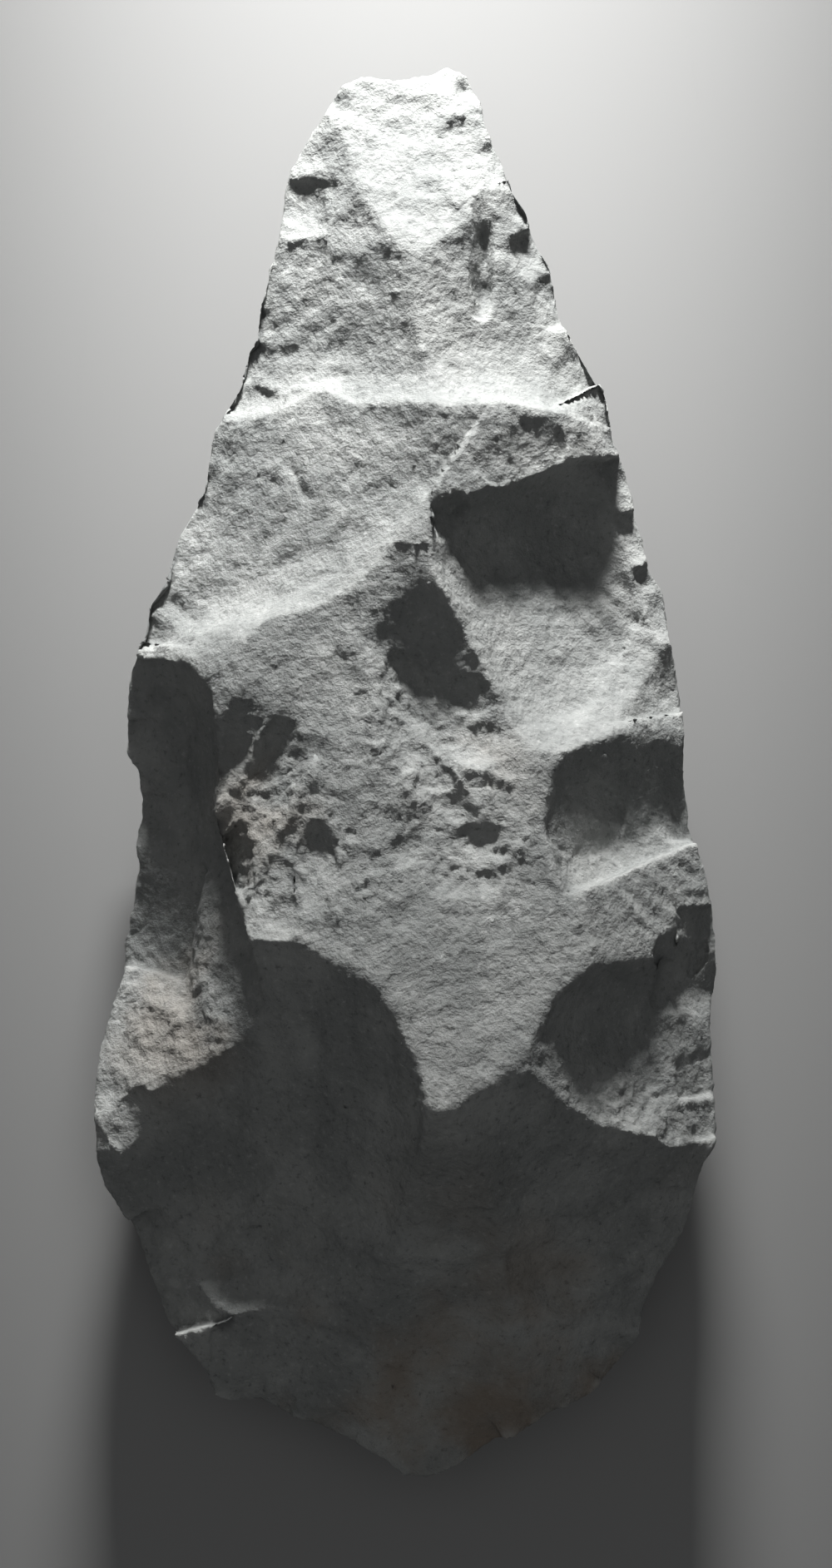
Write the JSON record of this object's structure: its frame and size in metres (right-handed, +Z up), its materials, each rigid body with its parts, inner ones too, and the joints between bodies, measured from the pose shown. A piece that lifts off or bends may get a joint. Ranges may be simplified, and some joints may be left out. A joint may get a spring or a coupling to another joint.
{
  "type": "stone hand axe",
  "caption": "Large flaked-stone hand axe: a tongue-shaped core tool worked on both faces, with a narrow tip, sharp sides and a heavy rounded butt, held in the hand to cut, chop and dig.",
  "frame": {"origin": "centre of the outline seen from above, on the surface that the axe lies on", "axes": "+Y along the length from the butt to the tip, +X across the width, +Z up out of the front face"},
  "size_m": [0.1052, 0.238, 0.0507],
  "materials": {
    "stone": "rough dark volcanic stone, matt, with a fine crystalline grain and worn edges"
  },
  "bodies": {
    "root": {"hand_axe": "stone"}
  },
  "joints": []
}
